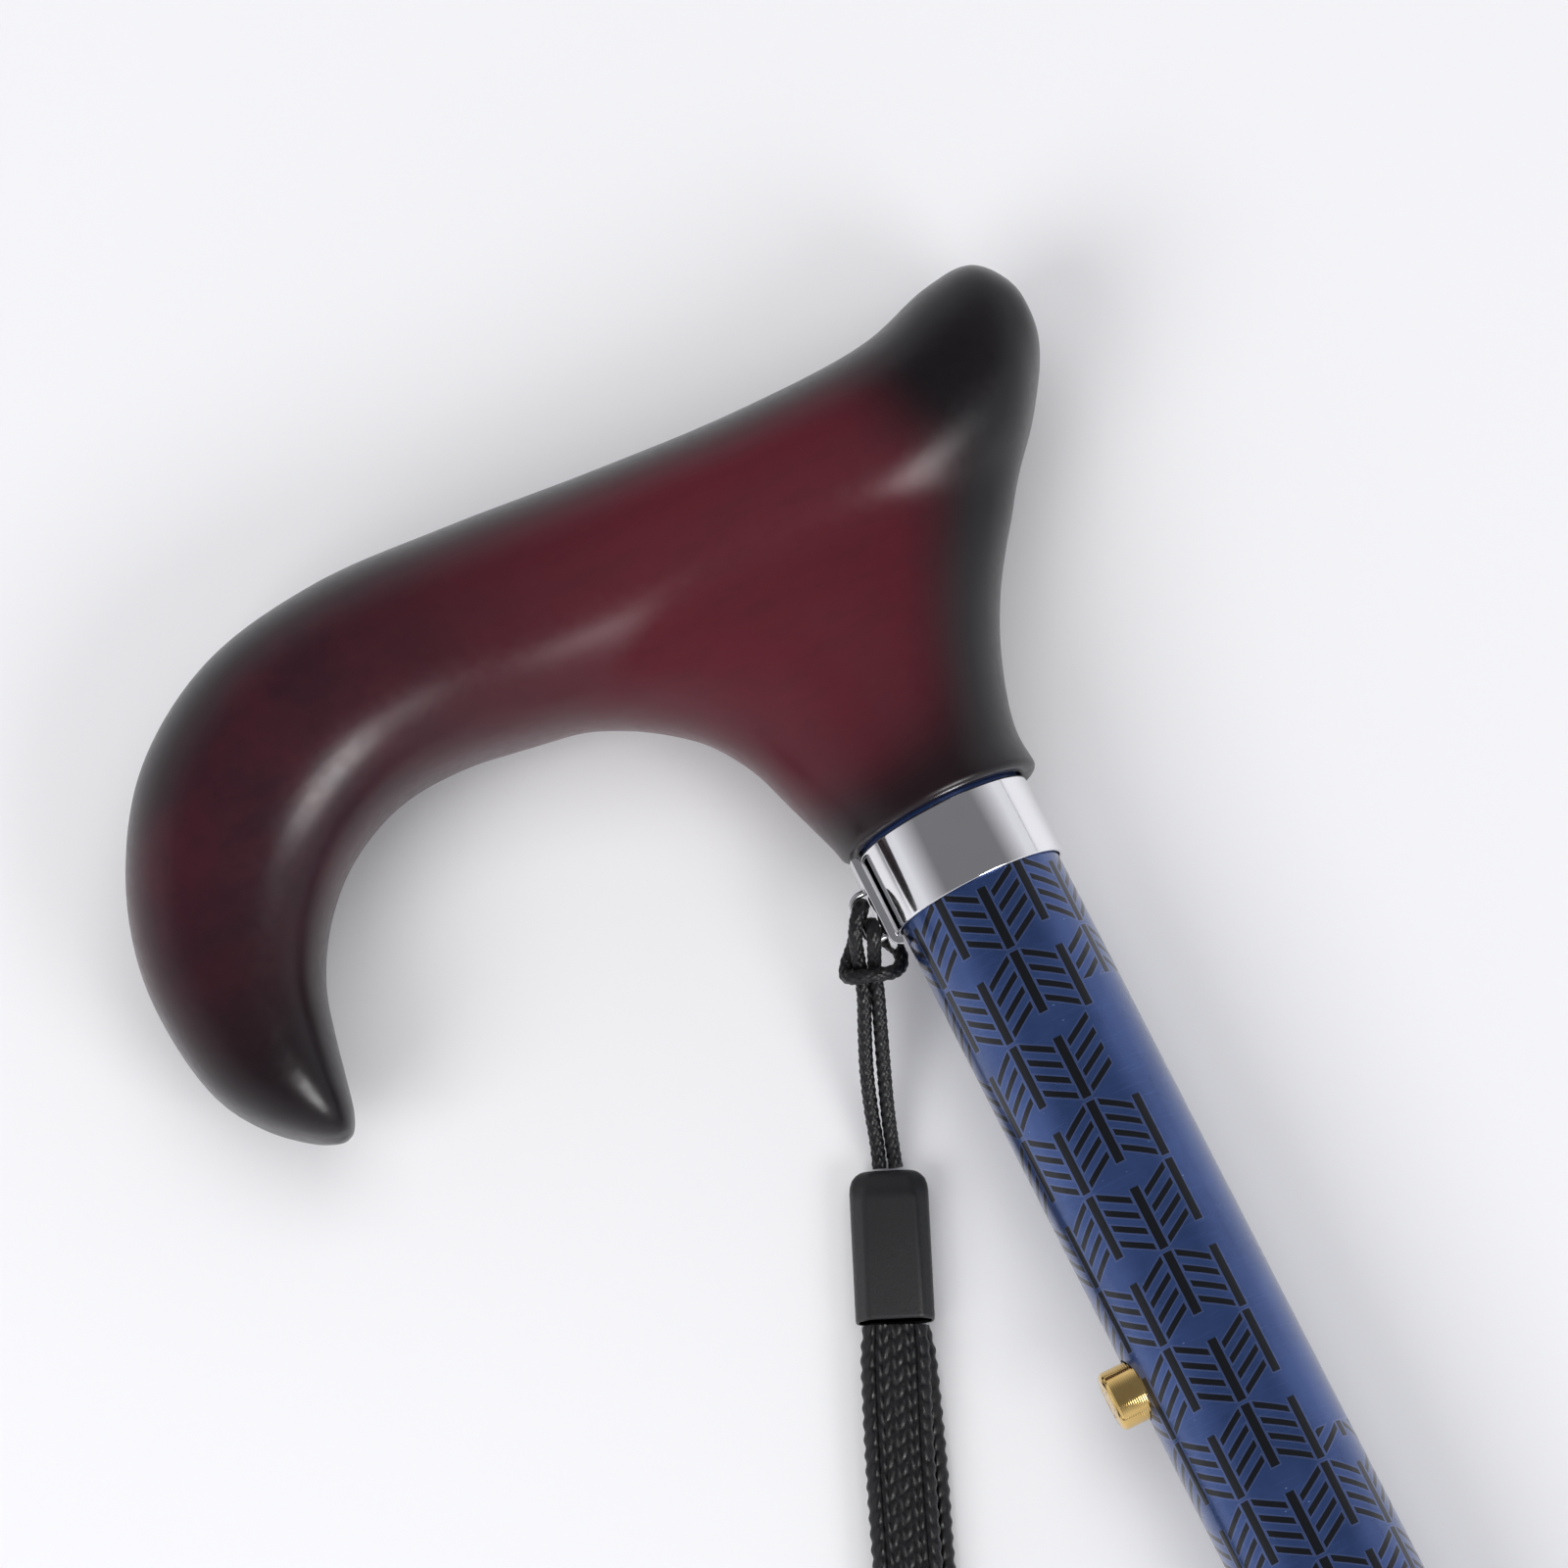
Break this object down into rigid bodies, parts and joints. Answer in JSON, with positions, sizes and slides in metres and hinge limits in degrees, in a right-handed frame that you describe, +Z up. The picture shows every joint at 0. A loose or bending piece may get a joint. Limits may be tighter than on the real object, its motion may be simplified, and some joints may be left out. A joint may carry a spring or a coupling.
{
  "type": "single point cane",
  "caption": "Height-adjustable single point cane with a derby handle, a printed metal shaft, a rubber tip and a wrist strap, lying on its side.",
  "frame": {"origin": "under the middle of the cane's box, on the table that the cane lies on, with the strap left out", "axes": "+X along the shaft from the tip towards the handle, +Y the way the handle's hook points, +Z up from the table"},
  "size_m": [0.7376, 0.1394, 0.032],
  "materials": {
    "handle_lacquer": "burgundy stain shading to black, satin lacquer",
    "chrome": "bright chrome plate",
    "printed_tube": "blue metallic coat with a printed black geometric motif",
    "plain_tube": "dark blue anodised, satin",
    "brass": "turned and polished",
    "steel": "bright zinc",
    "black_plastic": "black moulded, fine texture",
    "grey_plastic": "grey moulded",
    "rubber": "black rubber, matt",
    "black_cord": "black braided polyester",
    "black_knit": "black knitted polyester band"
  },
  "bodies": {
    "cane_top": {"handle": "handle_lacquer", "handle_screw": "steel", "screw_washer": "steel", "tube_plug": "grey_plastic", "collar": "chrome", "strap_clip": "chrome", "strap_eye": "chrome", "upper_tube": "printed_tube", "tube_bushing": "black_plastic", "lock_collet": "grey_plastic", "cord_hitch": "black_cord"},
    "lower_section": {"lower_tube": "plain_tube", "tube_end_cap": "grey_plastic", "button_spring": "steel", "lower_plug": "grey_plastic", "tip_washer": "steel", "rubber_tip": "rubber"},
    "button": {"snap_button": "brass"},
    "lock": {"lock_ring": "black_plastic"},
    "wrist_strap": {"cord_strand_left": "black_cord", "cord_strand_right": "black_cord", "connector_front": "black_plastic", "connector_back": "black_plastic", "cord_crimp": "steel", "wrist_band": "black_knit"}
  },
  "joints": [
    {"name": "height_slide", "type": "slide", "parent": "cane_top", "child": "lower_section", "axis": [-1, 0, 0], "range_m": [0, 0.18]},
    {"name": "button_press", "type": "slide", "parent": "lower_section", "child": "button", "axis": [0, -1, 0], "range_m": [0, 0.0049], "stiffness_N_per_m": 1500, "deforming": ["button_spring"]},
    {"name": "lock_turn", "type": "hinge", "parent": "cane_top", "child": "lock", "pos_m": [-0.1147, -0.02997, 0.016], "axis": [1, 0, 0], "range_deg": [0, 180]},
    {"name": "strap_swing", "type": "hinge", "parent": "cane_top", "child": "wrist_strap", "pos_m": [0.2901, -0.0121, 0.0122], "axis": [1, 0, 0], "range_deg": [0, 90]}
  ]
}
